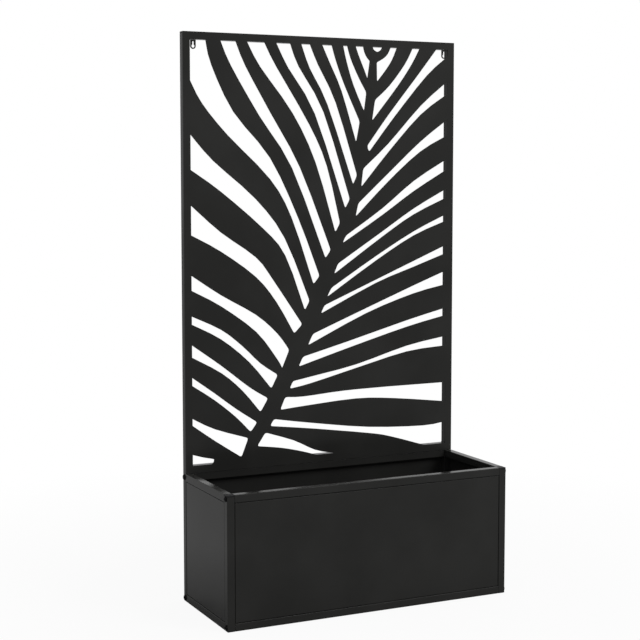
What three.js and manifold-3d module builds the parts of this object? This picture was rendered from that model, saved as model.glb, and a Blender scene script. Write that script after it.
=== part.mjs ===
// A steel floor planter with a tall trellis screen at its back. The screen is a sheet cut through with
// the gaps between the leaflets of a palm leaf. Millimetres, +Z up. The origin is on the floor in the
// middle of the footprint, the planter faces -Y and the screen stands at +Y.
import * as THREE from "three";
import { mergeVertices } from "three/addons/utils/BufferGeometryUtils.js";
import Module from "manifold-3d";

// ---- Driving dimensions -----------------------------------------------------------------------------

// Overall
const WIDTH = 810; // over the outer faces of the posts
const DEPTH = 310; // front face of the front posts to rear face of the rear posts
const BOX_HEIGHT = 345; // floor to the planter's rim
const HEIGHT = 1500; // floor to the top of the trellis

// Square steel tube, used for every post, rail and bar
const TUBE = 20; // outer size
const TUBE_WALL = 1.5;
const TUBE_CORNER = 1.5; // outer corner radius

// Clearances
const JOINT_GAP = 0.3; // between two pieces that are seated or welded against each other
const PANEL_GAP = 0.9; // seam all round a folded panel
const FIT = 0.3; // all round a plug, an insert or a bolt inside its bore

// Folded panels that close the four sides of the planter
const PANEL_SHEET = 1.2; // sheet thickness
const PANEL_BEND = 1.5; // outer radius of the fold
const PANEL_RECESS = 2; // how far a panel's face lies behind the face of the tubes

// Base plate
const BASE_SHEET = 1.5;
const BASE_LEDGE = 4.5; // how far the plate's edge lies on the bottom rails
const DRAIN_HOLE = 12; // diameter
const BASE_BAYS = 3; // bays between the bars under the plate

// Trellis screen
const SCREEN_SHEET = 1.5;
const SLOT_TIP_RADIUS = 6; // rounding of the two corners at the inner end of each slot

// Hanger tabs under the top rail, for screws in a wall
const HANGER_INSET = 30.5; // centre of a tab to the outer face of the post
const HANGER_SETBACK = 2.5; // front face of the top rail to the front face of a tab
const HANGER_WIDTH = 15;
const HANGER_SHEET = 2;
const HANGER_DROP = 16.8; // underside of the top rail to the centre of the round hole
const KEYHOLE_HEAD = 8.5; // diameter of the round hole, which lets the screw's head through
const KEYHOLE_SLOT = 4; // width of the slot above it
const KEYHOLE_RISE = 10.5; // centre of the round hole to the centre of the slot's top end

// Domed bolts through the posts into the rails, and the threaded inserts that take them
const BOLT_SHANK = 6; // diameter
const BOLT_LENGTH = 33; // under the head
const BOLT_HEAD = 15; // diameter
const BOLT_HEAD_HEIGHT = 4.4;
const BOLT_SOCKET = 4.6; // across the corners of the hexagonal socket
const BOLT_SOCKET_DEPTH = 2.4;
const INSERT_LENGTH = 16;
const INSERT_CORNER = 1;

// Plastic plugs in the open ends of the posts
const PLUG_HEAD = 4; // thickness of the head outside the tube
const PLUG_BEVEL = 0.8;
const PLUG_SKIRT = 15; // length of the hollow skirt inside the tube
const PLUG_WALL = 1.4;

// Facets
const CORNER_STEPS = 3; // per quarter turn of a tube corner or a fold
const BORE_STEPS = 12; // round a bore
const BOLT_STEPS = 18; // round a bolt
const DOME_STEPS = 4; // from the rim of a bolt's head to its middle
const EDGE_STEPS = 3; // per span between two drawn points of a slot's edge
const TIP_STEPS = 2; // round a corner at the inner end of a slot

// ---- The leaf drawing ---------------------------------------------------------------------------------

// The drawing fills the trellis frame's opening. x runs from the opening's middle, and z from its lower
// edge. Each slot is the gap between two leaflets: two edges, each drawn from the frame to the rib, where
// a short end joins them. The rib curves from the lower left to a fork at the top, right of the middle.
const DRAWN_HALF_WIDTH = 385;
const DRAWN_HEIGHT = 1115;

// Left of the rib, from the top of the rib round to the lower left. The first edge is the one on the right.
const LEFT_SLOTS = [
  [[[117.5, 1115], [121, 1101], [128, 1087], [138, 1076]], [[95, 1115], [104, 1091], [121, 1053], [131, 1029]]],
  [[[69, 1115], [80, 1080], [104, 1031], [128, 991]], [[57, 1115], [68, 1071], [88, 1011], [121, 940]]],
  [[[22, 1115], [36, 1071], [61, 1009], [108, 911]], [[-6, 1115], [15, 1071], [53, 991], [97, 855]]],
  [[[-43, 1115], [-18, 1060], [35, 960], [100, 765]], [[-68, 1115], [-43, 1051], [10, 955], [88, 740]]],
  [[[-101, 1115], [-76, 1055], [-2, 935], [78, 700]], [[-141, 1115], [-107, 1051], [-28, 930], [64, 675]]],
  [[[-176, 1115], [-142, 1053], [-44, 900], [8, 790], [48, 635]],
    [[-225, 1115], [-188, 1051], [-94, 931], [-26, 800], [34, 610]]],
  [[[-258, 1115], [-230, 1051], [-159, 931], [-72, 785], [20, 562]],
    [[-300, 1115], [-271, 1051], [-190, 921], [-96, 785], [4, 540]]],
  [[[-342, 1115], [-326, 1051], [-265, 931], [-160, 811], [-78, 651], [-14, 492]],
    [[-385, 1010], [-352, 951], [-282, 871], [-160, 755], [-97, 651], [-32, 470]]],
  [[[-385, 870], [-322, 802], [-202, 702], [-118, 597], [-44, 425]],
    [[-385, 779], [-302, 723], [-182, 625], [-116, 550], [-58, 400]]],
  [[[-385, 686], [-302, 615], [-202, 547], [-152, 485], [-66, 362]],
    [[-385, 609], [-302, 565], [-202, 495], [-142, 425], [-90, 338]]],
  [[[-385, 503], [-302, 449], [-202, 393], [-140, 340], [-105, 294]],
    [[-385, 464], [-302, 420], [-202, 348], [-142, 273], [-126, 246]]],
  [[[-385, 396], [-302, 357], [-242, 311], [-190, 262], [-139, 228]],
    [[-385, 375], [-302, 332], [-222, 267], [-158, 192]]],
  [[[-385, 320], [-302, 261], [-222, 199], [-168, 166]], [[-385, 288], [-302, 242], [-242, 191], [-190, 130]]],
  [[[-385, 234], [-322, 189], [-262, 144], [-200, 103]], [[-385, 213], [-322, 171], [-262, 122], [-219, 78]]],
  [[[-385, 125], [-322, 93], [-226, 62]], [[-385, 107], [-322, 62], [-246, 12]]],
  [[[-385, 29], [-355, 20], [-324, 13]], [[-385, 0], [-328, 0]]],
];

// Right of the rib, from the top round to the bottom. The first edge is the upper one.
const RIGHT_SLOTS = [
  [[[147, 1115], [151, 1107], [160, 1102]], [[176, 1115], [172, 1107], [163, 1102]]],
  [[[203, 1115], [194, 1097], [180, 1084], [160, 1073]], [[222, 1115], [207, 1081], [186, 1051], [161, 1021]]],
  [[[272, 1115], [248, 1071], [200, 1011], [155, 971]], [[294, 1115], [269, 1071], [226, 1011], [146, 914]]],
  [[[348, 1115], [280, 1031], [197, 931], [131, 845]], [[385, 1097], [318, 1042], [218, 929], [137, 829]]],
  [[[385, 1028], [298, 957], [198, 853], [119, 783]], [[385, 993], [298, 933], [198, 830], [113, 733]]],
  [[[385, 921], [298, 858], [198, 771], [104, 688]], [[385, 877], [298, 831], [198, 749], [96, 652]]],
  [[[385, 811], [278, 749], [178, 673], [66, 600]], [[385, 782], [278, 721], [178, 655], [56, 580]]],
  [[[385, 728], [278, 672], [178, 609], [42, 524]], [[385, 703], [278, 656], [178, 595], [30, 496]]],
  [[[385, 656], [278, 608], [158, 541], [22, 458]], [[385, 638], [278, 597], [158, 529], [9, 434]]],
  [[[385, 569], [278, 525], [158, 476], [1, 411]], [[385, 546], [278, 509], [158, 467], [-10, 389]]],
  [[[385, 496], [278, 456], [128, 398], [-34, 334]], [[385, 457], [278, 434], [128, 384], [-49, 304]]],
  [[[385, 390], [258, 359], [78, 310], [-64, 273]], [[385, 369], [258, 341], [75, 291], [-77, 247]]],
  [[[385, 309], [258, 287], [98, 243], [-42, 217], [-94, 208]],
    [[385, 282], [258, 271], [98, 233], [-42, 199], [-104, 188]]],
  [[[385, 176], [198, 175], [58, 172], [-62, 164], [-117, 166]],
    [[385, 121], [218, 141], [98, 148], [-62, 138], [-132, 132]]],
  [[[385, 63], [312, 56], [138, 65], [-42, 90], [-151, 108]],
    [[316, 0], [205, 34], [138, 48], [-22, 72], [-162, 90]]],
  [[[30, 0], [-28, 14], [-92, 45], [-176, 73]], [[-24, 0], [-70, 14], [-130, 28], [-200, 38]]],
];

// ---- Sizes that follow from the driving dimensions ----------------------------------------------------

const POST_X = (WIDTH - TUBE) / 2; // centre line of a post, from the middle
const POST_Y = (DEPTH - TUBE) / 2;
const LONG_RAIL = WIDTH - 2 * TUBE - 2 * JOINT_GAP;
const SHORT_RAIL = DEPTH - 2 * TUBE - 2 * JOINT_GAP;
const BORE = BOLT_SHANK + 2 * FIT;
const TUBE_BORE = TUBE - 2 * TUBE_WALL - 2 * FIT; // size of what fits inside a tube
const TRELLIS_FOOT = BOX_HEIGHT + JOINT_GAP; // underside of the trellis frame's lower rail
const OPENING_FOOT = TRELLIS_FOOT + TUBE; // lower edge of the trellis frame's opening
const OPENING_TOP = HEIGHT - TUBE;
const OPENING_HALF_WIDTH = WIDTH / 2 - TUBE;
const LONG_PANEL = WIDTH - 2 * TUBE - 2 * PANEL_GAP;
const END_PANEL = DEPTH - 2 * TUBE - 2 * PANEL_GAP;
const PANEL_HEIGHT = BOX_HEIGHT - 2 * TUBE - 2 * PANEL_GAP;
const PANEL_FOLD = TUBE - PANEL_RECESS - BASE_LEDGE - JOINT_GAP; // depth of the rim, clear of the base
const QUARTER = Math.PI / 2;

// ---- Materials ----------------------------------------------------------------------------------------

const powderCoat = new THREE.MeshStandardMaterial({ color: "#2b2b2a", roughness: 0.62, metalness: 0.1 });
const blackPlastic = new THREE.MeshStandardMaterial({ color: "#191a1c", roughness: 0.75, metalness: 0 });
const blackenedSteel = new THREE.MeshStandardMaterial({ color: "#141414", roughness: 0.4, metalness: 0.6 });
const zincPlate = new THREE.MeshStandardMaterial({ color: "#a3a49f", roughness: 0.35, metalness: 0.9 });

// ---- Joining and cutting ------------------------------------------------------------------------------

const wasm = await Module();
wasm.setup();

function solidOf(geometry) {
  const bare = geometry.clone();
  bare.deleteAttribute("normal");
  bare.deleteAttribute("uv");
  const merged = mergeVertices(bare, 1e-4);
  const mesh = new wasm.Mesh({
    numProp: 3,
    vertProperties: merged.attributes.position.array,
    triVerts: new Uint32Array(merged.index.array),
  });
  mesh.merge();
  return new wasm.Manifold(mesh);
}

function geometryOf(solid) {
  const mesh = solid.getMesh();
  const geometry = new THREE.BufferGeometry();
  geometry.setAttribute("position", new THREE.BufferAttribute(new Float32Array(mesh.vertProperties), 3));
  geometry.setIndex(new THREE.BufferAttribute(new Uint32Array(mesh.triVerts), 1));
  const flat = geometry.toNonIndexed();
  flat.computeVertexNormals();
  return flat;
}

function cut(geometry, ...tools) {
  let solid = solidOf(geometry);
  for (const tool of tools) {
    solid = solid.subtract(solidOf(tool));
  }
  return geometryOf(solid);
}

// ---- Shared shapes ------------------------------------------------------------------------------------

function roundedRectangle(width, height, radius) {
  const x = width / 2 - radius;
  const y = height / 2 - radius;
  const shape = new THREE.Shape();
  shape.absarc(x, y, radius, 0, QUARTER);
  shape.absarc(-x, y, radius, QUARTER, 2 * QUARTER);
  shape.absarc(-x, -y, radius, 2 * QUARTER, 3 * QUARTER);
  shape.absarc(x, -y, radius, 3 * QUARTER, 4 * QUARTER);
  shape.closePath();
  return shape;
}

function extrude(shape, depth, curveSegments = CORNER_STEPS) {
  return new THREE.ExtrudeGeometry(shape, { depth, curveSegments, bevelEnabled: false });
}

// A square length along +Z with rounded corners and a square hollow, open at both ends.
function hollowBar(side, corner, wall, length, cornerSteps) {
  const bar = extrude(roundedRectangle(side, side, corner), length, cornerSteps);
  return cut(bar, new THREE.BoxGeometry(side - 2 * wall, side - 2 * wall, 3 * length));
}

function squareTube(length) {
  return hollowBar(TUBE, TUBE_CORNER, TUBE_WALL, length, CORNER_STEPS);
}

function railAlongX(length) {
  return squareTube(length).translate(0, 0, -length / 2).rotateY(QUARTER);
}

function railAlongY(length) {
  return squareTube(length).translate(0, 0, -length / 2).rotateX(QUARTER);
}

// The tool that bores a bolt's hole across a tube at height z.
function crossBore(z) {
  const tool = new THREE.CylinderGeometry(BORE / 2, BORE / 2, 2 * TUBE, BORE_STEPS);
  return tool.rotateZ(QUARTER).translate(0, 0, z);
}

// ---- Posts and their plugs ----------------------------------------------------------------------------

// A post from the floor up. The plugs' heads make up its two ends.
function post(height, boltHeights) {
  const tube = squareTube(height - 2 * PLUG_HEAD - 2 * JOINT_GAP).translate(0, 0, PLUG_HEAD + JOINT_GAP);
  return cut(tube, ...boltHeights.map(crossBore));
}

// A plug with its head at z = 0 to PLUG_HEAD and its skirt above. A bolted end has the bolt's bore in it.
function plug(isBored) {
  const side = TUBE - 2 * PLUG_BEVEL;
  const head = new THREE.ExtrudeGeometry(roundedRectangle(side, side, TUBE_CORNER - PLUG_BEVEL), {
    depth: PLUG_HEAD - 2 * PLUG_BEVEL,
    curveSegments: CORNER_STEPS,
    bevelThickness: PLUG_BEVEL,
    bevelSize: PLUG_BEVEL,
    bevelSegments: 1,
  }).translate(0, 0, PLUG_BEVEL);
  const buried = PLUG_HEAD / 2; // how deep the skirt runs into the head, so that the two join
  const skirt = hollowBar(TUBE_BORE, INSERT_CORNER, PLUG_WALL, PLUG_SKIRT + buried, 1);
  const whole = geometryOf(solidOf(head).add(solidOf(skirt.translate(0, 0, PLUG_HEAD - buried))));
  return isBored ? cut(whole, crossBore(TUBE / 2)) : whole;
}

// ---- Bolts and inserts --------------------------------------------------------------------------------

// A domed bolt along +X: the head's underside lies at x = 0 and the shank runs to x = BOLT_LENGTH.
function bolt() {
  const domeRadius = (BOLT_HEAD ** 2 / 4 + BOLT_HEAD_HEIGHT ** 2) / (2 * BOLT_HEAD_HEIGHT);
  const rimAngle = Math.asin(BOLT_HEAD / 2 / domeRadius);
  const profile = [];
  const tipChamfer = BOLT_SHANK / 6;
  profile.push(new THREE.Vector2(0, -BOLT_LENGTH));
  profile.push(new THREE.Vector2(BOLT_SHANK / 2 - tipChamfer, -BOLT_LENGTH));
  profile.push(new THREE.Vector2(BOLT_SHANK / 2, tipChamfer - BOLT_LENGTH));
  profile.push(new THREE.Vector2(BOLT_SHANK / 2, 0));
  for (let step = 0; step < DOME_STEPS; step++) {
    const angle = rimAngle * (1 - step / DOME_STEPS);
    const height = BOLT_HEAD_HEIGHT - domeRadius * (1 - Math.cos(angle));
    profile.push(new THREE.Vector2(domeRadius * Math.sin(angle), height));
  }
  profile.push(new THREE.Vector2(0, BOLT_HEAD_HEIGHT));
  const turned = new THREE.LatheGeometry(profile, BOLT_STEPS);
  const socket = new THREE.CylinderGeometry(BOLT_SOCKET / 2, BOLT_SOCKET / 2, 2 * BOLT_SOCKET_DEPTH, 6);
  return cut(turned, socket.translate(0, BOLT_HEAD_HEIGHT, 0)).rotateZ(QUARTER);
}

// A threaded insert along X for a rail's end, from x = 0 to INSERT_LENGTH.
function insert() {
  const block = extrude(roundedRectangle(TUBE_BORE, TUBE_BORE, INSERT_CORNER), INSERT_LENGTH, 1);
  const bore = new THREE.CylinderGeometry(BORE / 2, BORE / 2, 3 * INSERT_LENGTH, BORE_STEPS);
  return cut(block.rotateY(QUARTER), bore.rotateZ(QUARTER));
}

// ---- Panels and base ----------------------------------------------------------------------------------

// A folded panel: its face lies at y = 0 towards -Y, and its rim is folded back towards +Y.
function foldedPanel(width, height) {
  const face = roundedRectangle(width - 2 * PANEL_BEND, height - 2 * PANEL_BEND, PANEL_BEND / 4);
  const block = new THREE.ExtrudeGeometry(face, {
    depth: PANEL_FOLD,
    curveSegments: 1,
    bevelThickness: PANEL_BEND,
    bevelSize: PANEL_BEND,
    bevelSegments: CORNER_STEPS,
  }).translate(0, 0, PANEL_BEND).rotateX(-QUARTER);
  const behind = new THREE.BoxGeometry(2 * width, PANEL_FOLD, 2 * height);
  const hollow = new THREE.BoxGeometry(width - 2 * PANEL_SHEET, PANEL_FOLD, height - 2 * PANEL_SHEET);
  return cut(
    block,
    behind.translate(0, 1.5 * PANEL_FOLD, 0),
    hollow.translate(0, PANEL_FOLD / 2 + PANEL_SHEET, 0),
  );
}

// The base plate, notched round the posts, with two drain holes in each bay between the bars.
function basePlate() {
  const outerX = WIDTH / 2 - TUBE + BASE_LEDGE;
  const outerY = DEPTH / 2 - TUBE + BASE_LEDGE;
  const innerX = WIDTH / 2 - TUBE - JOINT_GAP;
  const innerY = DEPTH / 2 - TUBE - JOINT_GAP;
  const corners = [];
  for (const [x, y] of [[1, 1], [-1, 1], [-1, -1], [1, -1]]) {
    const notch = [[outerX * x, innerY * y], [innerX * x, innerY * y], [innerX * x, outerY * y]];
    corners.push(...(x * y > 0 ? notch : notch.reverse()));
  }
  const outline = new THREE.Shape(corners.map(([x, y]) => new THREE.Vector2(x, y)));
  for (let bay = 0; bay < BASE_BAYS; bay++) {
    for (const side of [-1, 1]) {
      const hole = new THREE.Path();
      const x = (bay + 0.5 - BASE_BAYS / 2) * (2 * innerX) / BASE_BAYS;
      hole.absarc(x, side * innerY / 2, DRAIN_HOLE / 2, 0, 2 * Math.PI, true);
      outline.holes.push(hole);
    }
  }
  return extrude(outline, BASE_SHEET, BORE_STEPS);
}

// ---- Trellis screen -----------------------------------------------------------------------------------

// A drawn point in the screen's own plane: x from the middle, y up from the screen's lower edge.
function onScreen([x, z]) {
  const acrossScale = OPENING_HALF_WIDTH / DRAWN_HALF_WIDTH;
  const upScale = (OPENING_TOP - OPENING_FOOT) / DRAWN_HEIGHT;
  return new THREE.Vector2(x * acrossScale, TUBE + z * upScale);
}

// The points that round the corner between two straight runs.
function roundedCorner(before, corner, after) {
  const reach = Math.min(SLOT_TIP_RADIUS, corner.distanceTo(before) / 2, corner.distanceTo(after) / 2.2);
  const start = corner.clone().add(before.clone().sub(corner).setLength(reach));
  const end = corner.clone().add(after.clone().sub(corner).setLength(reach));
  return new THREE.QuadraticBezierCurve(start, corner, end).getPoints(TIP_STEPS);
}

// Where a slot takes in a corner of the opening, its two edges start on two sides of the frame.
function openingCorner(a, b) {
  const onSide = (p) => Math.abs(Math.abs(p[0]) - DRAWN_HALF_WIDTH) < 1e-6;
  const onEnd = (p) => p[1] === 0 || p[1] === DRAWN_HEIGHT;
  if (onSide(a) && onEnd(b) && !onSide(b)) return [[a[0], b[1]]];
  if (onSide(b) && onEnd(a) && !onSide(a)) return [[b[0], a[1]]];
  return [];
}

// The outline of one slot, from its first edge round the inner end and back along its second edge.
function slotPoints([firstEdge, secondEdge]) {
  const [first, second] = [firstEdge, secondEdge].map((edge) => {
    const points = edge.map(onScreen);
    const spans = edge.length - 1;
    return spans > 1 ? new THREE.SplineCurve(points).getPoints(spans * EDGE_STEPS) : points;
  });
  const firstTip = first.pop();
  const secondTip = second.pop();
  return [
    ...first,
    ...roundedCorner(first.at(-1), firstTip, secondTip),
    ...roundedCorner(firstTip, secondTip, second.at(-1)),
    ...second.reverse(),
    ...openingCorner(firstEdge[0], secondEdge[0]).map(onScreen),
  ];
}

// The screen sheet, flat in X and Z, with its front face at y = 0 and its lower edge at z = 0.
function leafScreen() {
  const height = HEIGHT - TRELLIS_FOOT;
  const sheet = new THREE.BoxGeometry(WIDTH, height, SCREEN_SHEET).translate(0, height / 2, 0);
  const slots = [...LEFT_SLOTS, ...RIGHT_SLOTS].map((slot) => {
    const tool = extrude(new THREE.Shape(slotPoints(slot)), 2 * SCREEN_SHEET);
    return tool.translate(0, 0, -SCREEN_SHEET);
  });
  return cut(sheet, ...slots).rotateX(QUARTER).translate(0, SCREEN_SHEET / 2, 0);
}

// A hanger tab with a keyhole, flat in X and Z. Its top edge lies at z = 0, its front face at y = 0.
function hangerTab() {
  const half = HANGER_WIDTH / 2;
  const tab = new THREE.Shape();
  tab.moveTo(half, 0);
  tab.lineTo(-half, 0);
  tab.absarc(0, -HANGER_DROP, half, Math.PI, 2 * Math.PI);
  tab.closePath();
  const slotTop = KEYHOLE_RISE - HANGER_DROP;
  const mouth = Math.asin(KEYHOLE_SLOT / KEYHOLE_HEAD);
  const keyhole = new THREE.Path();
  keyhole.absarc(0, -HANGER_DROP, KEYHOLE_HEAD / 2, QUARTER + mouth, 5 * QUARTER - mouth);
  keyhole.absarc(0, slotTop, KEYHOLE_SLOT / 2, 0, 2 * QUARTER);
  keyhole.closePath();
  tab.holes.push(keyhole);
  return extrude(tab, HANGER_SHEET, BORE_STEPS / 2).rotateX(QUARTER).translate(0, HANGER_SHEET, 0);
}

// ---- Assembly -----------------------------------------------------------------------------------------

const planter = new THREE.Group();

function place(name, geometry, material, x, y, z, turn = 0) {
  const mesh = new THREE.Mesh(geometry, material);
  mesh.name = name;
  mesh.position.set(x, y, z);
  mesh.rotation.z = turn;
  planter.add(mesh);
  return mesh;
}

const SIDES = [["left", -1], ["right", 1]];
const FACES = [["front", -1, BOX_HEIGHT], ["rear", 1, HEIGHT]];
const BOLT_LEVELS = [["lower", TUBE / 2], ["upper", BOX_HEIGHT - TUBE / 2]];

// Posts, plugs, bolts and inserts: one post at each corner, bolted at the planter's two rail levels.
for (const [face, towardsY, postHeight] of FACES) {
  for (const [side, towardsX] of SIDES) {
    const x = towardsX * POST_X;
    const y = towardsY * POST_Y;
    const boltHeights = BOLT_LEVELS.map(([, height]) => height);
    place(`${face}_post_${side}`, post(postHeight, boltHeights), powderCoat, x, y, 0);
    place(`${face}_foot_plug_${side}`, plug(true), blackPlastic, x, y, 0);
    const topPlug = place(`${face}_top_plug_${side}`, plug(face === "front"), blackPlastic, x, y, postHeight);
    topPlug.rotation.x = 2 * QUARTER;
    for (const [level, height] of BOLT_LEVELS) {
      const turn = towardsX > 0 ? 2 * QUARTER : 0;
      const headX = towardsX * (WIDTH / 2 + JOINT_GAP);
      const insertX = towardsX * (WIDTH / 2 - TUBE - 2 * JOINT_GAP);
      place(`${face}_${level}_bolt_${side}`, bolt(), blackenedSteel, headX, y, height, turn);
      place(`${face}_${level}_insert_${side}`, insert(), zincPlate, insertX, y, height, turn);
    }
  }
}

// Front and back of the planter: two rails with a folded panel between them.
for (const [face, towardsY] of FACES) {
  const turn = towardsY > 0 ? 2 * QUARTER : 0;
  for (const [level, height] of BOLT_LEVELS) {
    place(`${face}_${level}_rail`, railAlongX(LONG_RAIL), powderCoat, 0, towardsY * POST_Y, height);
  }
  const y = towardsY * (DEPTH / 2 - PANEL_RECESS);
  place(`${face}_panel`, foldedPanel(LONG_PANEL, PANEL_HEIGHT), powderCoat, 0, y, BOX_HEIGHT / 2, turn);
}

// Ends of the planter, the same way round.
for (const [side, towardsX] of SIDES) {
  for (const [level, height] of BOLT_LEVELS) {
    place(`${side}_end_${level}_rail`, railAlongY(SHORT_RAIL), powderCoat, towardsX * POST_X, 0, height);
  }
  const x = towardsX * (WIDTH / 2 - PANEL_RECESS);
  const panel = foldedPanel(END_PANEL, PANEL_HEIGHT);
  place(`${side}_end_panel`, panel, powderCoat, x, 0, BOX_HEIGHT / 2, towardsX * QUARTER);
}

// Base: bars between the lower rails, with the plate on them.
const bayWidth = (WIDTH - 2 * TUBE) / BASE_BAYS;
for (let bar = 1; bar < BASE_BAYS; bar++) {
  const x = (bar - BASE_BAYS / 2) * bayWidth;
  place(`base_bar_${bar}`, railAlongY(SHORT_RAIL), powderCoat, x, 0, TUBE / 2);
}
place("base_plate", basePlate(), powderCoat, 0, 0, TUBE + JOINT_GAP);

// Trellis: two rails between the rear posts, the screen on their front faces, and the hanger tabs.
place("trellis_top_rail", railAlongX(LONG_RAIL), powderCoat, 0, POST_Y, HEIGHT - TUBE / 2);
place("trellis_lower_rail", railAlongX(LONG_RAIL), powderCoat, 0, POST_Y, TRELLIS_FOOT + TUBE / 2);
const screenY = DEPTH / 2 - TUBE - JOINT_GAP - SCREEN_SHEET;
place("leaf_screen", leafScreen(), powderCoat, 0, screenY, TRELLIS_FOOT);
for (const [side, towardsX] of SIDES) {
  const x = towardsX * (WIDTH / 2 - HANGER_INSET);
  const y = DEPTH / 2 - TUBE + HANGER_SETBACK;
  place(`hanger_tab_${side}`, hangerTab(), powderCoat, x, y, HEIGHT - TUBE - JOINT_GAP);
}

export default planter;
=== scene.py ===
"""Finishes a steel planter with a leaf trellis and stands it in a pale studio.

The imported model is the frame: it gives every solid's place, in metres, with the planter facing
-Y, the trellis at +Y and +Z up. Each sub-assembly below takes its own solids from that frame,
softens their edges or models them anew, adds the small pieces that they leave out and coats them.
"""

from __future__ import annotations

import logging
import math
from abc import ABC, abstractmethod
from collections.abc import Callable, Iterator
from contextlib import contextmanager
from dataclasses import dataclass
from enum import Enum, StrEnum
from itertools import product

import bpy
from mathutils import Matrix, Vector


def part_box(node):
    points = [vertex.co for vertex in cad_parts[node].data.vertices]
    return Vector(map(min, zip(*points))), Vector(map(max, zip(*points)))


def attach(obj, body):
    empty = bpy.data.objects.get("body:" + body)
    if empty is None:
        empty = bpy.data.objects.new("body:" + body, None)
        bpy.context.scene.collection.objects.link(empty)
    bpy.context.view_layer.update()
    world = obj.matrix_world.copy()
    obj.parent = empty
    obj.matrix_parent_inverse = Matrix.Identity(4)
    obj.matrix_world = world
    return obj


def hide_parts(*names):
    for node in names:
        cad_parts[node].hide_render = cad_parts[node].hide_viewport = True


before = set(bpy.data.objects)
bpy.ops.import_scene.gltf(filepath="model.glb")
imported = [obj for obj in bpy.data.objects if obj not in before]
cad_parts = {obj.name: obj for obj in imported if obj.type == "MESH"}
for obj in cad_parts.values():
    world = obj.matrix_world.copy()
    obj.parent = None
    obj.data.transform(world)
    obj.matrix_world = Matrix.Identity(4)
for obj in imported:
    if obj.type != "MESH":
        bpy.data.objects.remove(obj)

logging.basicConfig(level=logging.INFO, format="%(message)s")
log = logging.getLogger("planter")

Triple = tuple[float, float, float]
Colour = Triple
Span = tuple[float, float]

MM = 0.001  # in the frame's metres
BODY = "root"  # the planter's only body
UP = Vector((0, 0, 1))
WHITE = (1, 1, 1, 1)

FACING = 0.9  # the least share of a face's normal along the way that it faces
MERGED_WITHIN = 0.002 * MM  # corners of facets that lie closer are one corner
FLAT_WITHIN = math.radians(0.5)  # facets that turn by less are one face
SHARP_FROM = math.radians(40)  # edges that turn by more are rounded
SMOOTH_BELOW = math.radians(35)  # edges that turn by less are shaded smooth
EDGE_SEGMENTS = 2
LARGE_FACES_LEAD = 100  # the modifier's highest weight, which keeps large faces evenly shaded


class Way(Enum):
    """The two ways along an axis of the planter: -1 is against the axis and 1 is with it."""

    def end(self, low: float, high: float) -> float:
        """Picks the end of a span that lies this way."""
        return high if self.value > 0 else low


class Side(Way):
    """The two sides of the planter, seen from its front, and where each lies along X."""

    LEFT = -1
    RIGHT = 1


class Face(Way):
    """The front and the rear of the planter, and where each lies along Y."""

    FRONT = -1
    REAR = 1


class Level(Enum):
    """The two heights at which rails run and bolts go through the posts."""

    LOWER = 0
    UPPER = 1


class Axis(Enum):
    """The direction in which a weld runs."""

    Y = Vector((0, 1, 0))
    Z = Vector((0, 0, 1))


class Slot(StrEnum):
    """The material slots."""

    POWDER_COAT = "powder_coat"
    BLACK_PLASTIC = "black_plastic"
    BLACKENED_STEEL = "blackened_steel"
    ZINC_PLATE = "zinc_plate"


def named(*words: str | Enum) -> str:
    """Joins words and options into a node's name, such as front_lower_rail."""
    return "_".join(w.name.lower() if isinstance(w, Enum) else w for w in words)


def linear_channel(step: int) -> float:
    """Turns a display step from 0 to 255 into a linear value by the sRGB curve."""
    share = step / 255
    return share / 12.92 if share <= 0.04045 else ((share + 0.055) / 1.055) ** 2.4


def linear(red: int, green: int, blue: int) -> Colour:
    """Turns a colour in display steps into the linear values that a shader takes."""
    return linear_channel(red), linear_channel(green), linear_channel(blue)


# ---- Shaders ------------------------------------------------------------------------------------


class Signal:
    """A number that varies over a surface. Its operators add Math nodes."""

    def __init__(self, tree: ShaderTree, socket: bpy.types.NodeSocket) -> None:
        """Wraps an output socket of a tree."""
        self.tree = tree
        self.socket = socket

    def _math(self, operation: str, *values: Signal | float, clamp: bool = False) -> Signal:
        """Adds one Math node.

        Args:
            operation: The Math node's operation.
            values: Its inputs, in order.
            clamp: Whether the result is held between 0 and 1.

        Returns:
            The node's result.
        """
        settings = {"operation": operation, "use_clamp": clamp}
        node = self.tree.node("ShaderNodeMath", settings, dict(enumerate(values)))
        return Signal(self.tree, node.outputs[0])

    def __add__(self, other: Signal | float) -> Signal:
        """Sum."""
        return self._math("ADD", self, other)

    def __mul__(self, other: Signal | float) -> Signal:
        """Product."""
        return self._math("MULTIPLY", self, other)

    def __sub__(self, other: Signal | float) -> Signal:
        """Difference."""
        return self._math("SUBTRACT", self, other)

    def __rsub__(self, other: float) -> Signal:
        """Difference, with the plain number first."""
        return self._math("SUBTRACT", other, self)

    __radd__ = __add__
    __rmul__ = __mul__

    def or_more(self, other: Signal) -> Signal:
        """The larger of two signals."""
        return self._math("MAXIMUM", self, other)

    def above(self, edge: float, width: float) -> Signal:
        """Rises from 0 to 1 as this signal passes an edge.

        Args:
            edge: The value at which the rise starts.
            width: How far it takes to reach 1.

        Returns:
            The mask, from 0 to 1.
        """
        return self._math("MULTIPLY", self - edge, 1 / width, clamp=True)


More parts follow.
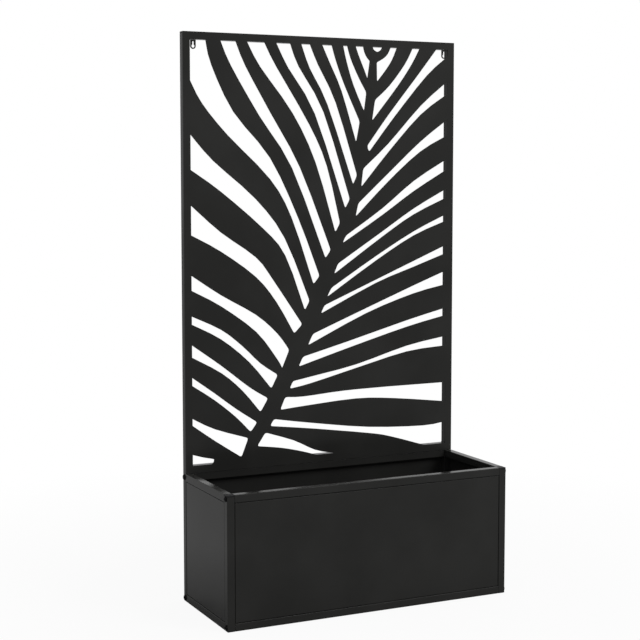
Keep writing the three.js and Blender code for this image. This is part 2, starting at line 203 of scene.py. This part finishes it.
class ShaderTree:
    """The nodes of one material or world."""

    def __init__(self, owner: bpy.types.Material | bpy.types.World) -> None:
        """Empties the owner's tree, to be filled anew.

        Args:
            owner: The material or world.
        """
        owner.use_nodes = True
        self.tree = owner.node_tree
        self.tree.nodes.clear()

    def node(
        self,
        kind: str,
        settings: dict[str, object] | None = None,
        inputs: dict[str | int, object] | None = None,
    ) -> bpy.types.Node:
        """Adds a node.

        Args:
            kind: The node's type.
            settings: Its properties, which are set first.
            inputs: Values or links for its sockets, by name or number.

        Returns:
            The node.
        """
        made = self.tree.nodes.new(kind)
        for key, value in (settings or {}).items():
            setattr(made, key, value)
        for key, value in (inputs or {}).items():
            self.feed(made.inputs[key], value)
        return made

    def feed(self, socket: bpy.types.NodeSocket, value: object) -> None:
        """Feeds an input.

        Args:
            socket: The input.
            value: A signal or a socket, which is linked, or a plain value, which is set.
        """
        if isinstance(value, Signal):
            value = value.socket
        if isinstance(value, bpy.types.NodeSocket):
            self.tree.links.new(value, socket)
        else:
            socket.default_value = value

    def rays(self, *kinds: str) -> list[Signal]:
        """Says of each kind of ray, such as Camera, whether the present ray is one."""
        path = self.node("ShaderNodeLightPath")
        return [Signal(self, path.outputs[f"Is {kind} Ray"]) for kind in kinds]

    def between(
        self, first: bpy.types.NodeSocket, second: bpy.types.NodeSocket, factor: Signal
    ) -> bpy.types.NodeSocket:
        """Mixes two shaders: the first where the factor is 0, the second where it is 1."""
        inputs = {0: factor, 1: first, 2: second}
        return self.node("ShaderNodeMixShader", inputs=inputs).outputs[0]


@dataclass(frozen=True)
class Pattern:
    """The measures of a noise.

    Attributes:
        size: The width of one patch, in metres.
        detail: The number of finer layers.
        roughness: How strong the finer layers are.
        stretch: How much longer a patch is along X, Y and Z.
    """

    size: float
    detail: float = 2.0
    roughness: float = 0.5
    stretch: Triple = (1, 1, 1)


class SurfaceShader(ShaderTree):
    """A material around a Principled shader."""

    # The Mix node's colour sockets, which share their names with its other sockets.
    MIX_LOW = 6
    MIX_HIGH = 7
    MIX_RESULT = 2

    def __init__(self, name: str) -> None:
        """Starts an empty material with a Principled shader on its output.

        Args:
            name: The material's name.
        """
        self.material = bpy.data.materials.new(name)
        super().__init__(self.material)
        self.principled = self.node("ShaderNodeBsdfPrincipled")
        surface = {"Surface": self.principled.outputs[0]}
        self.output = self.node("ShaderNodeOutputMaterial", inputs=surface)
        self.place = self.node("ShaderNodeTexCoord").outputs["Object"]

    def constants(self, **values: object) -> None:
        """Sets inputs of the Principled shader that are the same all over, with _ for a space."""
        for key, value in values.items():
            self.principled.inputs[key.replace("_", " ")].default_value = value

    def noise(self, pattern: Pattern) -> Signal:
        """Makes a noise fixed to the piece.

        Args:
            pattern: The noise's measures.

        Returns:
            The noise, around 0.5.
        """
        scale = [1 / stretch for stretch in pattern.stretch]
        mapped = self.node("ShaderNodeMapping", inputs={"Vector": self.place, "Scale": scale})
        inputs = {
            "Vector": mapped.outputs[0],
            "Scale": 1 / pattern.size,
            "Detail": pattern.detail,
            "Roughness": pattern.roughness,
        }
        return Signal(self, self.node("ShaderNodeTexNoise", inputs=inputs).outputs[0])

    def cells(self, size: float) -> Signal:
        """Gives the distance to the nearest of many scattered points, in shares of a cell."""
        inputs = {"Vector": self.place, "Scale": 1 / size}
        return Signal(self, self.node("ShaderNodeTexVoronoi", inputs=inputs).outputs["Distance"])

    def facing_up(self) -> Signal:
        """Gives how far the surface faces up: 1 on a level top, 0 on a wall, -1 underneath."""
        normal = self.node("ShaderNodeNewGeometry").outputs["True Normal"]
        return Signal(self, self.node("ShaderNodeSeparateXYZ", inputs={0: normal}).outputs["Z"])

    def beyond(self, near: float, far: float) -> Signal:
        """Masks what lies away from the origin: 0 up to near, 1 from far on, in metres."""
        length = self.node("ShaderNodeVectorMath", {"operation": "LENGTH"}, {0: self.place})
        return Signal(self, length.outputs["Value"]).above(near, far - near)

    def blend(
        self, low: Colour | bpy.types.NodeSocket, high: Colour, factor: Signal
    ) -> bpy.types.NodeSocket:
        """Mixes two colours by a signal.

        Args:
            low: The colour where the signal is 0, or a socket that gives it.
            high: The colour where the signal is 1.
            factor: The signal.

        Returns:
            The mixed colour.
        """
        if not isinstance(low, bpy.types.NodeSocket):
            low = (*low, 1)
        inputs = {"Factor": factor, self.MIX_LOW: low, self.MIX_HIGH: (*high, 1)}
        mix = self.node("ShaderNodeMix", {"data_type": "RGBA"}, inputs)
        return mix.outputs[self.MIX_RESULT]

    def finished(
        self,
        colour: bpy.types.NodeSocket,
        roughness: Signal,
        *relief: tuple[Signal, float],
    ) -> bpy.types.Material:
        """Feeds the Principled shader with what varies over the surface.

        Args:
            colour: The base colour.
            roughness: The roughness.
            relief: For each layer of bumps, a height from 0 to 1 and the real height of its
                full step, in metres.

        Returns:
            The material.
        """
        self.feed(self.principled.inputs["Base Color"], colour)
        self.feed(self.principled.inputs["Roughness"], roughness)
        below: dict[str, object] = {}
        for height, rise in relief:
            inputs = {"Height": height, "Distance": rise, "Strength": 1.0, **below}
            below = {"Normal": self.node("ShaderNodeBump", inputs=inputs).outputs[0]}
        self.feed(self.principled.inputs["Normal"], below["Normal"])
        return self.material


@dataclass(frozen=True)
class PowderCoat:
    """A satin powder coat: baked polyester with a fine orange peel and a little dust."""

    name: str = "powder_coat"
    colour: Colour = linear(35, 35, 34)
    lighter: Colour = linear(40, 40, 39)
    dust: Colour = linear(112, 109, 102)
    specular: float = 0.07
    roughness: float = 0.08
    clouds: Pattern = Pattern(190 * MM, detail=3)
    cloud_edge: Span = (0.35, 0.3)
    cloud_roughness: float = 0.1
    peel: Pattern = Pattern(2.2 * MM, detail=1)
    peel_height: float = 0.014 * MM
    grain: Pattern = Pattern(0.45 * MM, roughness=0.6)
    grain_height: float = 0.006 * MM
    grain_roughness: float = 0.05
    film: Pattern = Pattern(12 * MM, detail=4)
    film_edge: Span = (0.44, 0.3)
    film_slope: Span = (0.4, 0.6)
    film_strength: float = 0.04
    speck_spacing: float = 4 * MM
    speck_edge: Span = (0.06, 0.05)
    speck_patches: Pattern = Pattern(50 * MM)
    speck_patch_edge: Span = (0.52, 0.1)
    speck_strength: float = 0.05
    dust_roughness: float = 0.6

    def material(self) -> bpy.types.Material:
        """Builds the coat."""
        shader = SurfaceShader(self.name)
        shader.constants(Specular_IOR_Level=self.specular)
        clouds = shader.noise(self.clouds)
        grain = shader.noise(self.grain)
        dusting = self._dusting(shader)
        clean = shader.blend(self.colour, self.lighter, clouds.above(*self.cloud_edge))
        roughness = (
            self.roughness
            + clouds * self.cloud_roughness
            + grain * self.grain_roughness
            + dusting * self.dust_roughness
        )
        return shader.finished(
            shader.blend(clean, self.dust, dusting),
            roughness,
            (shader.noise(self.peel), self.peel_height),
            (grain, self.grain_height),
        )

    def _dusting(self, shader: SurfaceShader) -> Signal:
        """Gives the share of dust: a film on what faces up, and specks in patches.

        Args:
            shader: The coat's material.

        Returns:
            The share.
        """
        film = shader.facing_up().above(*self.film_slope)
        film = film * shader.noise(self.film).above(*self.film_edge)
        specks = 1 - shader.cells(self.speck_spacing).above(*self.speck_edge)
        specks = specks * shader.noise(self.speck_patches).above(*self.speck_patch_edge)
        return film * self.film_strength + specks * self.speck_strength


@dataclass(frozen=True)
class MouldedPlastic:
    """A black polyethylene moulding with a fine matt grain."""

    name: str = "moulded_plastic"
    colour: Colour = linear(24, 24, 25)
    scuffed: Colour = linear(44, 45, 48)
    specular: float = 0.16
    roughness: float = 0.5
    grain: Pattern = Pattern(0.35 * MM, detail=3, roughness=0.7)
    grain_height: float = 0.02 * MM
    grain_roughness: float = 0.15
    scuffs: Pattern = Pattern(3 * MM, detail=4, stretch=(3, 1, 1))
    scuff_edge: Span = (0.6, 0.2)
    scuff_roughness: float = 0.1

    def material(self) -> bpy.types.Material:
        """Builds the plastic."""
        shader = SurfaceShader(self.name)
        shader.constants(Specular_IOR_Level=self.specular)
        grain = shader.noise(self.grain)
        scuffs = shader.noise(self.scuffs).above(*self.scuff_edge)
        return shader.finished(
            shader.blend(self.colour, self.scuffed, scuffs),
            self.roughness + grain * self.grain_roughness + scuffs * self.scuff_roughness,
            (grain, self.grain_height),
        )


@dataclass(frozen=True)
class Steel:
    """Steel under a thin treatment, with fine turning marks and patches of wear."""

    name: str
    colour: Colour
    worn: Colour
    wear: float
    metallic: float = 1.0
    specular: float = 0.5
    roughness: float = 0.3
    patches: Pattern = Pattern(1.6 * MM, detail=4, roughness=0.6)
    patch_height: float = 0.006 * MM
    wear_softness: float = 0.12
    wear_polish: float = 0.08
    marks: Pattern = Pattern(0.25 * MM, detail=1, stretch=(0.4, 6, 6))
    mark_height: float = 0.004 * MM
    mark_roughness: float = 0.12

    def material(self) -> bpy.types.Material:
        """Builds the steel."""
        shader = SurfaceShader(self.name)
        shader.constants(Metallic=self.metallic, Specular_IOR_Level=self.specular)
        patches = shader.noise(self.patches)
        marks = shader.noise(self.marks)
        wear = patches.above(1 - self.wear, self.wear_softness)
        return shader.finished(
            shader.blend(self.colour, self.worn, wear),
            self.roughness + marks * self.mark_roughness - wear * self.wear_polish,
            (marks, self.mark_height),
            (patches, self.patch_height),
        )


def mixed_finishes() -> dict[Slot, bpy.types.Material]:
    """Builds the material of each slot.

    Returns:
        The materials.
    """
    blackened = Steel(
        "blackened_steel",
        colour=linear(9, 9, 10),
        worn=linear(24, 24, 25),
        wear=0.3,
        metallic=0.0,
        specular=0.05,
    )
    zinc = Steel("zinc_plate", colour=linear(176, 178, 180), worn=linear(208, 209, 208), wear=0.5)
    return {
        Slot.POWDER_COAT: PowderCoat().material(),
        Slot.BLACK_PLASTIC: MouldedPlastic().material(),
        Slot.BLACKENED_STEEL: blackened.material(),
        Slot.ZINC_PLATE: zinc.material(),
    }


# ---- Modelling ----------------------------------------------------------------------------------


def deselect_all() -> None:
    """Leaves nothing selected, in object mode."""
    if bpy.context.object and bpy.context.object.mode != "OBJECT":
        bpy.ops.object.mode_set(mode="OBJECT")
    bpy.ops.object.select_all(action="DESELECT")


def activate(piece: bpy.types.Object) -> None:
    """Makes a piece the only one selected, and the active one.

    Args:
        piece: The piece.
    """
    deselect_all()
    piece.select_set(True)
    bpy.context.view_layer.objects.active = piece


@contextmanager
def editing() -> Iterator[None]:
    """Keeps the active piece in edit mode.

    Yields:
        Nothing, while the piece is edited.
    """
    bpy.ops.object.mode_set(mode="EDIT")
    yield
    bpy.ops.object.mode_set(mode="OBJECT")


def select_facing(piece: bpy.types.Object, *ways: Vector) -> None:
    """Selects faces for the next edit.

    Args:
        piece: The piece, in edit mode.
        ways: The unit vectors that the selected faces face along.
    """
    bpy.ops.mesh.select_mode(type="FACE")
    bpy.ops.mesh.select_all(action="DESELECT")
    bpy.ops.object.mode_set(mode="OBJECT")
    for polygon in piece.data.polygons:
        polygon.select = any(polygon.normal.dot(way) > FACING for way in ways)
    bpy.ops.object.mode_set(mode="EDIT")


def apply_modifier(piece: bpy.types.Object, kind: str, **settings: object) -> None:
    """Adds a modifier to the active piece and applies it.

    Args:
        piece: The piece, which is active.
        kind: The modifier's type.
        settings: Its properties.
    """
    modifier = piece.modifiers.new(kind.title(), kind)
    for key, value in settings.items():
        setattr(modifier, key, value)
    bpy.ops.object.modifier_apply(modifier=modifier.name)


def coat(piece: bpy.types.Object, material: bpy.types.Material) -> None:
    """Gives a piece one material."""
    piece.data.materials.clear()
    piece.data.materials.append(material)


def started(name: str, add: Callable[..., object], **measures: object) -> bpy.types.Object:
    """Starts a piece from a primitive.

    Args:
        name: The piece's name.
        add: The operator that adds the primitive.
        measures: The operator's options.

    Returns:
        The piece, which is active.
    """
    deselect_all()
    add(**measures)
    piece = bpy.context.object
    piece.name = piece.data.name = name
    return piece


def block(name: str, middle: Vector, size: Vector) -> bpy.types.Object:
    """Starts a piece from a block.

    Args:
        name: The piece's name.
        middle: The block's middle.
        size: Its size along X, Y and Z.

    Returns:
        The block, which is active.
    """
    piece = started(name, bpy.ops.mesh.primitive_cube_add, size=1, location=middle)
    piece.scale = size
    bpy.ops.object.transform_apply(location=True, rotation=True, scale=True)
    return piece


def stand_in(node: str, mesh: bpy.types.Mesh) -> bpy.types.Object:
    """Starts the piece that stands for a solid from a copy of a mesh.

    Args:
        node: The solid's name.
        mesh: The mesh.

    Returns:
        The piece.
    """
    piece = bpy.data.objects.new(f"{node}_finished", mesh.copy())
    bpy.context.scene.collection.objects.link(piece)
    return piece


def soften(piece: bpy.types.Object, edge: float) -> bpy.types.Object:
    """Rounds the sharp edges of the active piece and shades it.

    Args:
        piece: The piece, which is active.
        edge: The radius of the rounding, in metres.

    Returns:
        The piece.
    """
    limits = {"limit_method": "ANGLE", "angle_limit": SHARP_FROM, "use_clamp_overlap": True}
    apply_modifier(piece, "BEVEL", width=edge, segments=EDGE_SEGMENTS, **limits)
    bpy.ops.object.shade_smooth_by_angle(angle=SMOOTH_BELOW)
    shading = {"mode": "FACE_AREA", "weight": LARGE_FACES_LEAD, "keep_sharp": True}
    apply_modifier(piece, "WEIGHTED_NORMAL", **shading)
    return piece


def softened(node: str, edge: float) -> bpy.types.Object:
    """Copies a solid, joins its facets into whole faces and rounds its sharp edges.

    Args:
        node: The solid's name.
        edge: The radius of the rounding, in metres.

    Returns:
        The copy, in the solid's place.
    """
    piece = stand_in(node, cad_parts[node].data)
    activate(piece)
    with editing():
        bpy.ops.mesh.select_all(action="SELECT")
        bpy.ops.mesh.remove_doubles(threshold=MERGED_WITHIN)
        bpy.ops.mesh.dissolve_limited(angle_limit=FLAT_WITHIN, use_dissolve_boundaries=False)
    bpy.ops.object.shade_flat()
    return soften(piece, edge)


# ---- Sub-assemblies -----------------------------------------------------------------------------


@dataclass(frozen=True)
class WeldBead:
    """A short fillet weld that lies in the corner between two tubes."""

    length: float = 17 * MM
    radius: float = 1.7 * MM
    sides: int = 12
    ripples: int = 9
    ripple_share: float = 0.16
    end_share: float = 0.35
    smooth_below: float = math.radians(60)

    def build(self, name: str, centre: Vector, along: Axis) -> bpy.types.Object:
        """Models one bead.

        Args:
            name: The piece's name.
            centre: The middle of the bead, on the corner's line.
            along: The direction that it runs in.

        Returns:
            The bead.
        """
        measures = {"vertices": self.sides, "radius": self.radius, "depth": self.length}
        bead = started(name, bpy.ops.mesh.primitive_cylinder_add, **measures)
        with editing():
            bpy.ops.mesh.select_mode(type="VERT")
            self._ripple()
            select_facing(bead, UP, -UP)
            bpy.ops.mesh.inset(thickness=self.end_share * self.radius)
        turn = UP.rotation_difference(along.value).to_matrix().to_4x4()
        bead.data.transform(Matrix.Translation(centre) @ turn)
        bpy.ops.object.shade_smooth_by_angle(angle=self.smooth_below)
        return bead

    def _ripple(self) -> None:
        """Cuts rings round the upright bead and draws every second one in."""
        rings = 2 * self.ripples
        waist = 1 - self.ripple_share
        for ring in range(1, rings):
            bpy.ops.mesh.select_all(action="SELECT")
            middle = (0, 0, (ring / rings - 0.5) * self.length)
            bpy.ops.mesh.bisect(plane_co=middle, plane_no=UP)
            if ring % 2:
                bpy.ops.transform.resize(value=(waist, waist, 1), center_override=middle)


@dataclass(frozen=True)
class DomedBolt:
    """A domed bolt with a hexagonal socket, modelled with its axis along +Z."""

    head_radius: float = 7.5 * MM
    head_height: float = 4.4 * MM
    rim_height: float = 1.8 * MM
    dome_rings: int = 7
    sides: int = 48
    shank_radius: float = 3 * MM
    shank_length: float = 33 * MM
    socket_across: float = 4 * MM
    socket_depth: float = 2.4 * MM
    socket_sides: int = 6
    thread_pitch: float = 1 * MM
    thread_length: float = 22 * MM
    thread_depth: float = 0.35 * MM
    tip_share: float = 0.7
    smooth_below: float = math.radians(40)

    def build(self, name: str) -> bpy.types.Object:
        """Models the bolt, with the underside of its head at z = 0 and its shank below.

        Args:
            name: The piece's name.

        Returns:
            The bolt.
        """
        bolt = started(
            name,
            bpy.ops.mesh.primitive_cylinder_add,
            vertices=self.sides,
            radius=self.head_radius,
            depth=self.rim_height,
            location=(0, 0, self.rim_height / 2),
        )
        with editing():
            self._raise_dome(bolt)
            self._draw_shank(bolt)
        self._sink_socket(bolt)
        bpy.ops.object.transform_apply(location=True, rotation=True, scale=True)
        bpy.ops.object.shade_smooth_by_angle(angle=self.smooth_below)
        return bolt

    def _inset(self, from_radius: float, to_radius: float) -> None:
        """Insets the selected round face so that its corners move from one radius to another."""
        bpy.ops.mesh.inset(thickness=(from_radius - to_radius) * math.cos(math.pi / self.sides))

    def _raise_dome(self, bolt: bpy.types.Object) -> None:
        """Insets the head's top face ring by ring and lifts each ring onto the dome.

        Args:
            bolt: The bolt, in edit mode.
        """
        rise = self.head_height - self.rim_height
        dome_radius = (self.head_radius**2 + rise**2) / (2 * rise)
        half_angle = math.asin(self.head_radius / dome_radius)
        select_facing(bolt, UP)
        radius, height = self.head_radius, 0.0
        for ring in range(1, self.dome_rings):
            angle = half_angle * (1 - ring / self.dome_rings)
            next_radius = dome_radius * math.sin(angle)
            next_height = dome_radius * math.cos(angle) - dome_radius + rise
            self._inset(radius, next_radius)
            bpy.ops.transform.translate(value=(0, 0, next_height - height))
            radius, height = next_radius, next_height

    def _draw_shank(self, bolt: bpy.types.Object) -> None:
        """Draws the shank out of the head's underside, plain at first and then with its thread.

        Args:
            bolt: The bolt, in edit mode.
        """
        select_facing(bolt, -UP)
        self._inset(self.head_radius, self.shank_radius)
        depth = self.shank_length - self.thread_length
        self._lengthen(depth, depth)
        root = 1 - self.thread_depth / self.shank_radius
        step = self.thread_pitch / 2
        while depth < self.shank_length - self.thread_pitch:
            for change in (root, 1 / root):
                depth += step
                self._lengthen(step, depth, change)
        self._lengthen(self.shank_length - depth, self.shank_length, self.tip_share)

    def _lengthen(self, length: float, depth: float, change: float = 1.0) -> None:
        """Draws the selected end of the shank out and scales it.

        Args:
            length: How far it is drawn out.
            depth: The depth that it reaches.
            change: What its radius is multiplied by.
        """
        bpy.ops.mesh.extrude_region_move(TRANSFORM_OT_translate={"value": (0, 0, -length)})
        bpy.ops.transform.resize(value=(change, change, 1), center_override=(0, 0, -depth))

    def _sink_socket(self, bolt: bpy.types.Object) -> None:
        """Cuts the hexagonal socket out of the dome.

        Args:
            bolt: The bolt, in object mode.
        """
        cutter = started(
            "socket_cutter",
            bpy.ops.mesh.primitive_cylinder_add,
            vertices=self.socket_sides,
            radius=self.socket_across / 2 / math.cos(math.pi / self.socket_sides),
            depth=2 * self.socket_depth,
            location=(0, 0, self.head_height),
        )
        activate(bolt)
        cut = {"operation": "DIFFERENCE", "solver": "EXACT", "object": cutter}
        apply_modifier(bolt, "BOOLEAN", **cut)
        bpy.data.objects.remove(cutter)
        activate(bolt)


@dataclass
class FoldedPanel:
    """A steel sheet with its four edges folded back into a rim."""

    node: str
    outward: Vector
    sheet: float = 1.2 * MM
    bend: float = 1.1 * MM
    bend_steps: int = 4
    stands_out: float = 1.3 * MM
    drawn_in: float = 0.4 * MM
    edge: float = 0.15 * MM
    seam: float = 1.1 * MM
    seam_depth: float = 3 * MM

    def build(self) -> bpy.types.Object:
        """Models the panel in its solid's place, its face drawn out almost level with the tubes.

        Returns:
            The panel.
        """
        low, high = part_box(self.node)
        size = high - low - 2 * self.drawn_in * self._across() + self.stands_out * self._along()
        middle = (low + high) / 2 + self.stands_out / 2 * self.outward
        fold = abs(size.dot(self.outward)) - self.sheet
        panel = block(f"{self.node}_finished", middle, size)
        with editing():
            select_facing(panel, -self.outward)
            bpy.ops.mesh.inset(thickness=self.sheet)
            move = {"value": fold * self.outward}
            bpy.ops.mesh.extrude_region_move(TRANSFORM_OT_translate=move)
            select_facing(panel, self.outward)
            bpy.ops.mesh.bevel(offset=self.bend, segments=self.bend_steps)
        return soften(panel, self.edge)

    def build_seam(self) -> bpy.types.Object:
        """Models the weld that closes the seam between the back of the rim and the tubes.

        Returns:
            The weld, all round the panel.
        """
        low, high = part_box(self.node)
        size = high - low + 2 * self.seam * self._across()
        start = abs(size.dot(self.outward)) / 2 - self.seam_depth
        middle = (low + high) / 2 - start * self.outward
        size = size * self._across() + self.seam_depth * self._along()
        weld = block(f"{self.node}_seam", middle, size)
        with editing():
            select_facing(weld, self.outward, -self.outward)
            bpy.ops.mesh.inset(thickness=self.seam + self.drawn_in + self.edge)
            bpy.ops.mesh.bridge_edge_loops()
        return soften(weld, self.edge)

    def _along(self) -> Vector:
        """Marks the axis that the panel faces with 1."""
        return Vector(abs(share) for share in self.outward)

    def _across(self) -> Vector:
        """Marks the two axes of the panel's own plane with 1."""
        return Vector((1, 1, 1)) - self._along()


@dataclass
class SubAssembly(ABC):
    """Pieces of the planter that are finished together."""

    finishes: dict[Slot, bpy.types.Material]
    tube_edge: float = 0.25 * MM

    @abstractmethod
    def build(self) -> None:
        """Finishes the pieces."""

    def seat(self, piece: bpy.types.Object, slot: Slot, *nodes: str) -> None:
        """Coats a finished piece and fixes it to the planter.

        Args:
            piece: The piece, in place.
            slot: The material slot for it.
            nodes: The solids that it stands for.
        """
        coat(piece, self.finishes[slot])
        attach(piece, BODY)
        if nodes:
            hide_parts(*nodes)
        log.info("%s: %d faces", piece.name, len(piece.data.polygons))

    def refine(self, node: str, edge: float, slot: Slot = Slot.POWDER_COAT) -> None:
        """Seats a copy of a solid with its edges rounded."""
        self.seat(softened(node, edge), slot, node)


@dataclass
class Posts(SubAssembly):
    """The four posts with the plugs in their ends."""

    plug_edge: float = 0.3 * MM

    def build(self) -> None:
        """Finishes each post and its two plugs."""
        for face, side in product(Face, Side):
            self.refine(named(face, "post", side), self.tube_edge)
            for end in ("foot", "top"):
                plug = named(face, end, "plug", side)
                self.refine(plug, self.plug_edge, Slot.BLACK_PLASTIC)


@dataclass
class PlanterBox(SubAssembly):
    """Rails, folded panels, base plate and bars."""

    bars: tuple[str, ...] = ("base_bar_1", "base_bar_2")
    sheet_edge: float = 0.2 * MM
    weld: WeldBead = WeldBead()

    def rails(self) -> Iterator[str]:
        """Names the eight rails."""
        for level in Level:
            yield from (named(face, level, "rail") for face in Face)
            yield from (named(side, "end", level, "rail") for side in Side)

    def panels(self) -> Iterator[FoldedPanel]:
        """Lists the four folded panels."""
        for face in Face:
            yield FoldedPanel(named(face, "panel"), Vector((0, face.value, 0)))
        for side in Side:
            yield FoldedPanel(named(side, "end_panel"), Vector((side.value, 0, 0)))

    def build(self) -> None:
        """Finishes the box and welds its bars in."""
        for node in (*self.rails(), *self.bars):
            self.refine(node, self.tube_edge)
        for panel in self.panels():
            self.seat(panel.build(), Slot.POWDER_COAT, panel.node)
            self.seat(panel.build_seam(), Slot.POWDER_COAT)
        self.refine("base_plate", self.sheet_edge)
        for bar in self.bars:
            self._weld_bar(bar)

    def _weld_bar(self, bar: str) -> None:
        """Runs a bead down each corner between a bar and the long lower rails.

        Args:
            bar: The bar's node.
        """
        low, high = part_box(bar)
        middle = (low.z + high.z) / 2
        for face, side in product(Face, Side):
            corner = Vector((side.end(low.x, high.x), face.end(low.y, high.y), middle))
            bead = self.weld.build(named(bar, face, "weld", side), corner, Axis.Z)
            self.seat(bead, Slot.POWDER_COAT)


@dataclass
class Trellis(SubAssembly):
    """The frame behind the screen, the screen itself and the hanger tabs."""

    tubes: tuple[str, ...] = ("trellis_top_rail", "trellis_lower_rail")
    sheets: tuple[str, ...] = ("leaf_screen", "hanger_tab_left", "hanger_tab_right")
    cut_edge: float = 0.15 * MM
    weld: WeldBead = WeldBead()

    def build(self) -> None:
        """Finishes the trellis and welds its frame at the corners."""
        for node in self.tubes:
            self.refine(node, self.tube_edge)
        for node in self.sheets:
            self.refine(node, self.cut_edge)
        self._weld_corners()

    def _weld_corners(self) -> None:
        """Runs a bead through each inner corner of the trellis frame."""
        top_low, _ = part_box("trellis_top_rail")
        low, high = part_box("trellis_lower_rail")
        middle = (low.y + high.y) / 2
        for level, height in ((Level.UPPER, top_low.z), (Level.LOWER, high.z)):
            for side in Side:
                corner = Vector((side.end(low.x, high.x), middle, height))
                bead = self.weld.build(named("trellis", level, "weld", side), corner, Axis.Y)
                self.seat(bead, Slot.POWDER_COAT)


@dataclass
class Fastenings(SubAssembly):
    """The eight bolts, each turned towards its post, and the inserts that they screw into."""

    bolt: DomedBolt = DomedBolt()

    def build(self) -> None:
        """Copies the bolt to each place and coats the inserts."""
        pattern = self.bolt.build("bolt_pattern")
        for face, level, side in product(Face, Level, Side):
            self._place_bolt(pattern.data, named(face, level, "bolt", side), side)
            insert = named(face, level, "insert", side)
            coat(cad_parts[insert], self.finishes[Slot.ZINC_PLATE])
            log.info("%s: coated", insert)
        bpy.data.objects.remove(pattern)

    def _place_bolt(self, pattern: bpy.types.Mesh, node: str, side: Side) -> None:
        """Sets a copy of the pattern where a solid bolt is.

        Args:
            pattern: The bolt's mesh, at the origin.
            node: The solid bolt's name.
            side: The side that its head is on.
        """
        low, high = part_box(node)
        place = (low + high) / 2
        place.x = side.end(low.x, high.x) - side.value * self.bolt.head_height
        piece = stand_in(node, pattern)
        turn = Matrix.Rotation(side.value * math.pi / 2, 4, "Y")
        piece.data.transform(Matrix.Translation(place) @ turn)
        self.seat(piece, Slot.BLACKENED_STEEL, node)


# ---- Studio -------------------------------------------------------------------------------------


@dataclass
class Camera:
    """A camera at eye height, off to the planter's left, that keeps uprights nearly upright."""

    location: Vector = Vector((-1734.77, -3444.2, 1132.83)) * MM
    turned_right: float = math.radians(25.703)
    tilted_down: float = math.radians(4.915)
    picture_side: float = 640  # pixels, as are the next two
    focal_length: float = 1461.95
    shifted_down: float = 20
    sensor: float = 36  # mm, as is the lens

    def build(self) -> None:
        """Adds the camera and looks through it."""
        data = bpy.data.cameras.new("camera")
        data.sensor_width = self.sensor
        data.lens = self.focal_length * self.sensor / self.picture_side
        data.shift_y = -self.shifted_down / self.picture_side
        camera = bpy.data.objects.new("camera", data)
        camera.location = self.location
        camera.rotation_euler = (math.pi / 2 - self.tilted_down, 0, -self.turned_right)
        bpy.context.scene.collection.objects.link(camera)
        bpy.context.scene.camera = camera


@dataclass(frozen=True)
class Softbox:
    """A square lamp that points at the planter."""

    name: str
    location: Triple
    side: float
    power: float

    def build(self, target: Vector) -> None:
        """Adds the lamp and turns it to the target.

        Args:
            target: The point that it lights.
        """
        data = bpy.data.lights.new(self.name, "AREA")
        data.shape = "SQUARE"
        data.size = self.side
        data.energy = self.power
        lamp = bpy.data.objects.new(self.name, data)
        lamp.location = self.location
        lamp.rotation_euler = (target - lamp.location).to_track_quat("-Z", "Y").to_euler()
        bpy.context.scene.collection.objects.link(lamp)


@dataclass
class Studio:
    """A white floor that runs into a white backdrop, soft lamps and an even sky.

    The floor shows its own white by a share that grows with the distance from the planter, so
    that it stays white and still keeps the shadow. Mirrored in the planter, that share is lower.
    """

    floor_side: float = 60.0
    floor_drop: float = 0.2 * MM
    floor_colour: Colour = (0.6, 0.6, 0.6)
    floor_roughness: float = 0.9
    glow: float = 0.93
    glow_reach: Span = (0.7, 1.9)
    mirrored_glow: float = 0.45
    mirrored_reach: Span = (0.45, 0.95)
    sky: float = 0.64
    lit_point: Vector = Vector((0, 0, 0.6))
    lamps: tuple[Softbox, ...] = (
        Softbox("key_softbox", (2.6, -3.8, 3.5), side=2.4, power=150),
        Softbox("top_softbox", (0.6, -0.2, 4.6), side=2.4, power=30),
    )

    def build(self) -> None:
        """Sets up the floor, the sky and the lamps."""
        self._lay_floor()
        self._light_sky()
        for lamp in self.lamps:
            lamp.build(self.lit_point)
        bpy.context.scene.view_settings.view_transform = "Standard"

    def _lay_floor(self) -> None:
        """Lays a floor that shows white and keeps the planter's shadow."""
        place = (0, 0, -self.floor_drop)
        add = bpy.ops.mesh.primitive_plane_add
        floor = started("floor", add, size=self.floor_side, location=place)
        shader = SurfaceShader("floor_white")
        shader.constants(Base_Color=(*self.floor_colour, 1), Specular_IOR_Level=0.0)
        shader.constants(Roughness=self.floor_roughness)
        white = shader.node("ShaderNodeEmission", inputs={"Color": WHITE, "Strength": 1.0})
        straight, glossy, through = shader.rays("Camera", "Glossy", "Transmission")
        away = shader.beyond(*self.glow_reach)
        mirrored = shader.beyond(*self.mirrored_reach) * self.mirrored_glow
        seen = straight * (self.glow + away * (1 - self.glow)) + (glossy + through) * mirrored
        mix = shader.between(shader.principled.outputs[0], white.outputs[0], seen)
        shader.feed(shader.output.inputs["Surface"], mix)
        coat(floor, shader.material)

    def _light_sky(self) -> None:
        """Lights the scene evenly from all round, with a white backdrop."""
        world = bpy.data.worlds.new("sky")
        bpy.context.scene.world = world
        tree = ShaderTree(world)
        lit, shown = (
            tree.node("ShaderNodeBackground", inputs={"Color": WHITE, "Strength": strength})
            for strength in (self.sky, 1.0)
        )
        straight, glossy, through = tree.rays("Camera", "Glossy", "Transmission")
        seen = straight.or_more(glossy).or_more(through)
        mix = tree.between(lit.outputs[0], shown.outputs[0], seen)
        tree.node("ShaderNodeOutputWorld", inputs={"Surface": mix})


def main() -> None:
    """Builds the studio and the planter."""
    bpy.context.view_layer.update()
    Camera().build()
    Studio().build()
    finishes = mixed_finishes()
    for part in (Posts, PlanterBox, Trellis, Fastenings):
        log.info(part.__name__)
        part(finishes).build()


if __name__ == "__main__":
    main()
